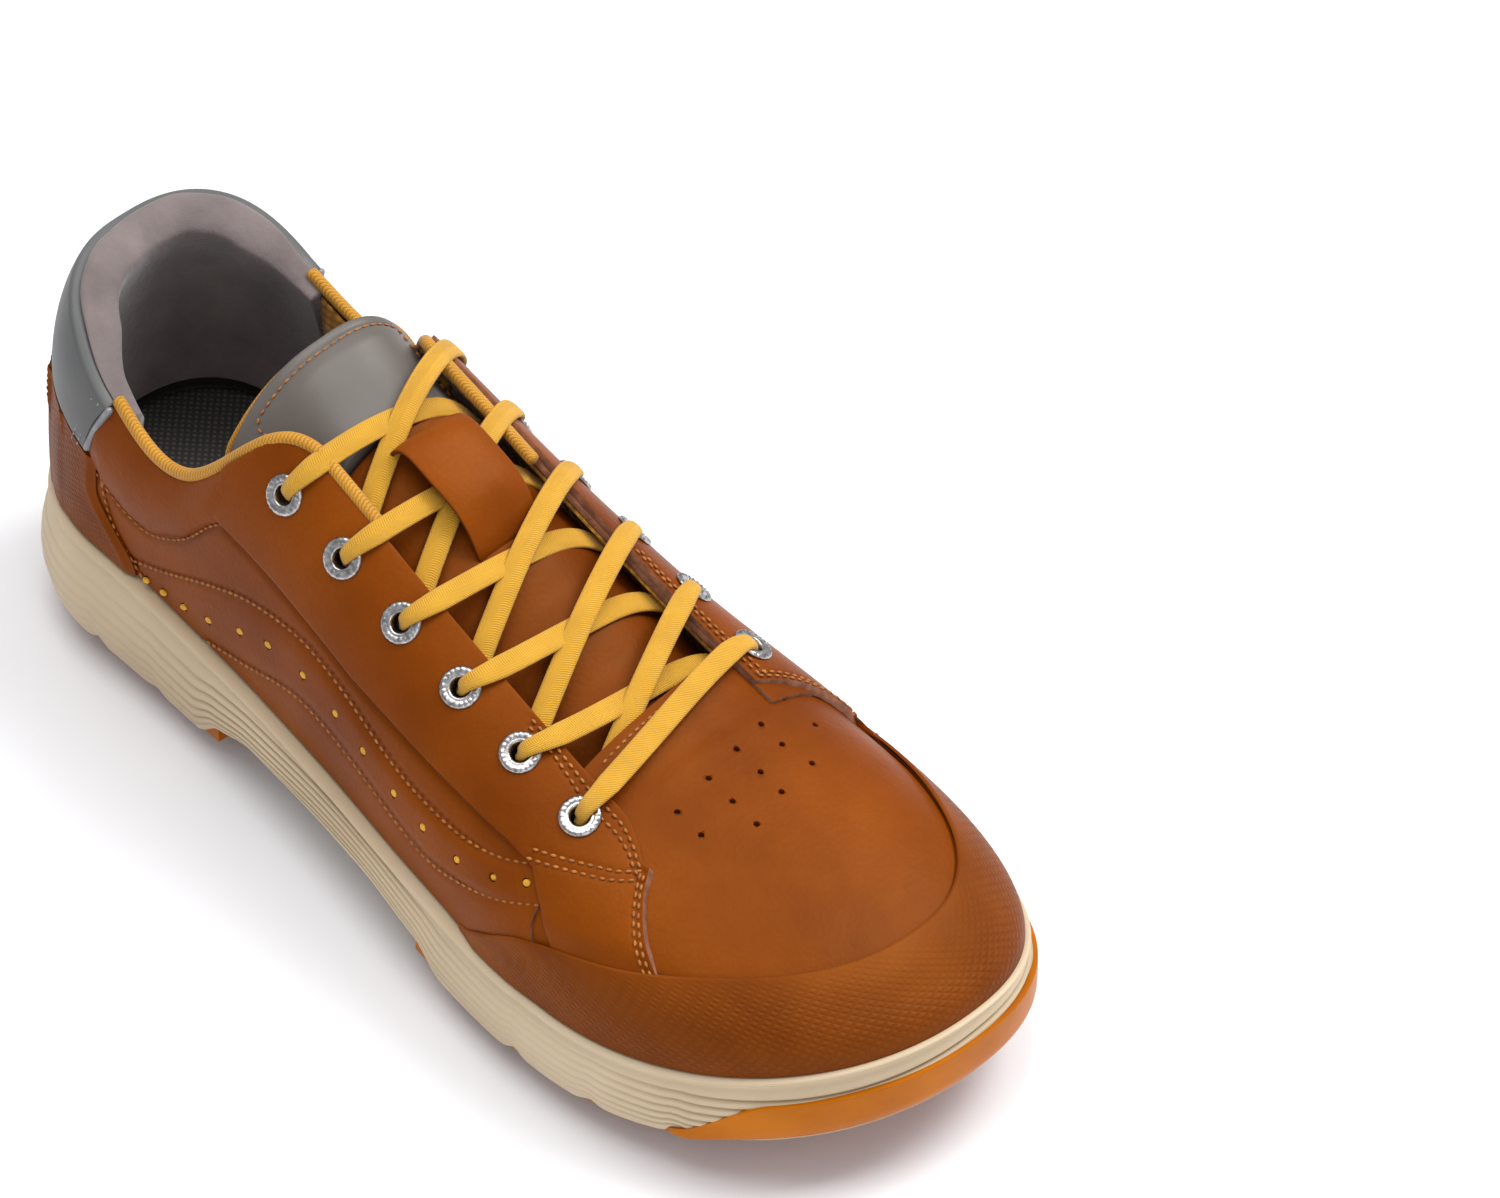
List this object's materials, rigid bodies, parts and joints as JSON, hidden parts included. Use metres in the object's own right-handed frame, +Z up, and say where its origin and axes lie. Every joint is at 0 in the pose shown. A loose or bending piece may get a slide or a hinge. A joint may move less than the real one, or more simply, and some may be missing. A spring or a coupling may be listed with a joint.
{
  "type": "golf shoe",
  "caption": "Low laced golf shoe, right foot: leather upper with perforations, padded collar, flat laces in metal eyelets, foam midsole, rubber outsole pods and twist-in cleats",
  "frame": {"origin": "on the ground, under the middle of the sole's bounding box", "axes": "+X to the toe, +Y to the medial (inner) side, +Z up"},
  "size_m": [0.3, 0.1164, 0.1074],
  "materials": {
    "leather_tan": "smooth satin, fine grain",
    "leather_textured": "satin with a woven emboss",
    "leather_grey": "satin, slight metallic sheen",
    "mesh_yellow": "woven mesh",
    "lining_grey": "soft brushed suede-like",
    "insole_dark": "woven, matte",
    "lace_yellow": "flat woven cord",
    "eyelet_metal": "polished, knurled rim",
    "aglet_clear": "clear film",
    "stiffener_board": "matte",
    "midsole_cream": "matte moulded foam",
    "outsole_amber": "satin moulded rubber",
    "shank_pearl": "pearl satin",
    "plate_dark": "matte",
    "cleat_dark": "satin",
    "socket_dark": "satin"
  },
  "bodies": {
    "root": {"vamp": "leather_tan", "vamp_lining": "lining_grey", "toe_cap": "leather_textured", "toe_puff": "stiffener_board", "toe_lining": "lining_grey", "quarter_lateral": "leather_tan", "quarter_medial": "leather_tan", "quarter_lining_lateral": "mesh_yellow", "quarter_lining_medial": "mesh_yellow", "eyestay_lateral": "leather_tan", "eyestay_medial": "leather_tan", "heel_counter_cover": "leather_textured", "collar_cuff": "leather_grey", "heel_stiffener": "stiffener_board", "collar_lining": "lining_grey", "tongue": "leather_tan", "tongue_panel": "leather_grey", "lace_keeper": "leather_tan", "eyelets_lateral": "eyelet_metal", "eyelets_medial": "eyelet_metal", "shoelace": "lace_yellow", "lace_aglets": "aglet_clear", "insole_board": "stiffener_board", "insole": "insole_dark", "midsole": "midsole_cream", "shank": "shank_pearl", "outsole_forefoot": "outsole_amber", "outsole_heel": "outsole_amber", "forefoot_plate": "plate_dark", "heel_plate": "plate_dark", "cleat_receptacles": "socket_dark"},
    "tongue_flap": {"tongue_top": "leather_grey"},
    "cleat_unit_1": {"cleat_1": "cleat_dark", "cleat_stud_1": "socket_dark"},
    "cleat_unit_2": {"cleat_2": "cleat_dark", "cleat_stud_2": "socket_dark"},
    "cleat_unit_3": {"cleat_3": "cleat_dark", "cleat_stud_3": "socket_dark"},
    "cleat_unit_4": {"cleat_4": "cleat_dark", "cleat_stud_4": "socket_dark"},
    "cleat_unit_5": {"cleat_5": "cleat_dark", "cleat_stud_5": "socket_dark"},
    "cleat_unit_6": {"cleat_6": "cleat_dark", "cleat_stud_6": "socket_dark"},
    "cleat_unit_7": {"cleat_7": "cleat_dark", "cleat_stud_7": "socket_dark"}
  },
  "joints": [
    {"name": "tongue_lift", "type": "hinge", "parent": "root", "child": "tongue_flap", "pos_m": [-0.0608, 0, 0.1058], "axis": [0, 1, 0], "range_deg": [0, 25], "stiffness_Nm_per_rad": 0.02},
    {"name": "cleat_twist_1", "type": "hinge", "parent": "root", "child": "cleat_unit_1", "pos_m": [0.108, 0.019, 0.01198], "axis": [0.1637, 0, -0.9865], "range_deg": [0, 60]},
    {"name": "cleat_twist_2", "type": "hinge", "parent": "root", "child": "cleat_unit_2", "pos_m": [0.092, -0.025, 0.00977], "axis": [0.1099, 0, -0.9939], "range_deg": [0, 60]},
    {"name": "cleat_twist_3", "type": "hinge", "parent": "root", "child": "cleat_unit_3", "pos_m": [0.076, 0.034, 0.00844], "axis": [0.0552, 0, -0.9985], "range_deg": [0, 60]},
    {"name": "cleat_twist_4", "type": "hinge", "parent": "root", "child": "cleat_unit_4", "pos_m": [0.046, -0.031, 0.008], "axis": [0, 0, -1], "range_deg": [0, 60]},
    {"name": "cleat_twist_5", "type": "hinge", "parent": "root", "child": "cleat_unit_5", "pos_m": [0.043, 0.029, 0.008], "axis": [0, 0, -1], "range_deg": [0, 60]},
    {"name": "cleat_twist_6", "type": "hinge", "parent": "root", "child": "cleat_unit_6", "pos_m": [-0.08, -0.02, 0.008], "axis": [0, 0, -1], "range_deg": [0, 60]},
    {"name": "cleat_twist_7", "type": "hinge", "parent": "root", "child": "cleat_unit_7", "pos_m": [-0.088, 0.018, 0.008], "axis": [0, 0, -1], "range_deg": [0, 60]}
  ]
}
